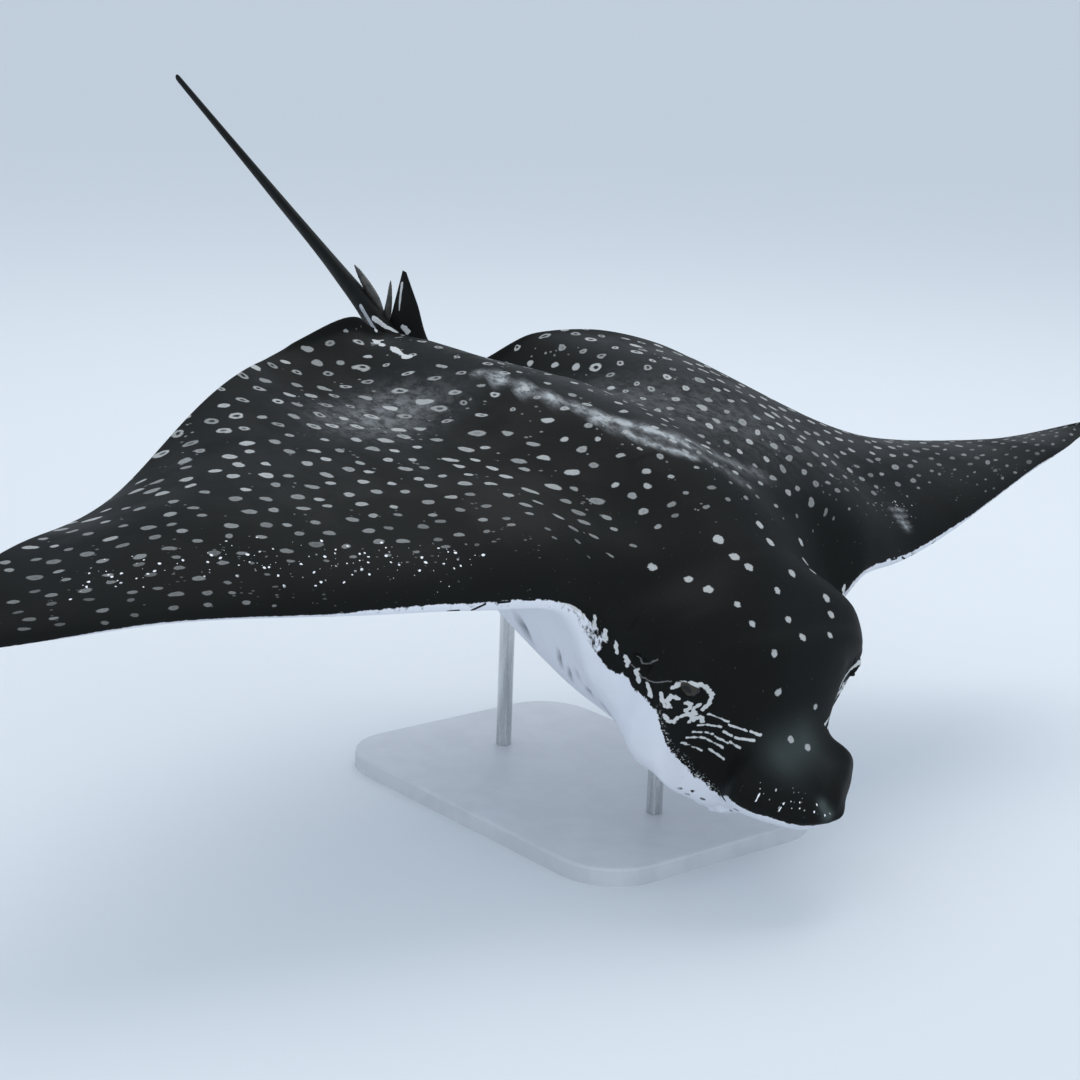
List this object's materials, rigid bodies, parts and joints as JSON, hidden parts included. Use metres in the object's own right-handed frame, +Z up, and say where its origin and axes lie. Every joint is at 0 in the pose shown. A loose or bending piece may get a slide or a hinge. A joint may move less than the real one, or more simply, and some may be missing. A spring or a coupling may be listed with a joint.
{
  "type": "spotted eagle ray display model",
  "caption": "Life-size eagle ray held in a banking, nose-down swim: domed head with a flat bill, broad pointed wings, small tail fins and a slender tail, on a flat base with two rods",
  "frame": {"origin": "centre of the underside of the stand base, on the surface it rests on", "axes": "+Z up; +X to the ray's left wing; the ray's head points along -Y and its tail along +Y"},
  "size_m": [1.4713, 1.1365, 0.6725],
  "materials": {
    "skin": "painted cast resin: near-black back with pale spots, white belly, moist sheen",
    "spine": "dark sheathed dentine, satin",
    "eye": "dark polished eye",
    "stand_base": "pale grey satin paint",
    "stand_rod": "satin"
  },
  "bodies": {
    "root": {"rostral_lobe": "skin", "head": "skin", "trunk": "skin", "wing_inner_left": "skin", "wing_inner_right": "skin", "wing_outer_left": "skin", "wing_outer_right": "skin", "pelvic_fin_left": "skin", "pelvic_fin_right": "skin", "dorsal_fin": "skin", "tail_1": "skin", "tail_2": "skin", "tail_3": "skin", "tail_4": "skin", "tail_spine_long": "spine", "tail_spine_short": "spine", "eye_left": "eye", "eye_right": "eye", "stand_base": "stand_base", "stand_rod_front": "stand_rod", "stand_rod_back": "stand_rod"}
  },
  "joints": []
}
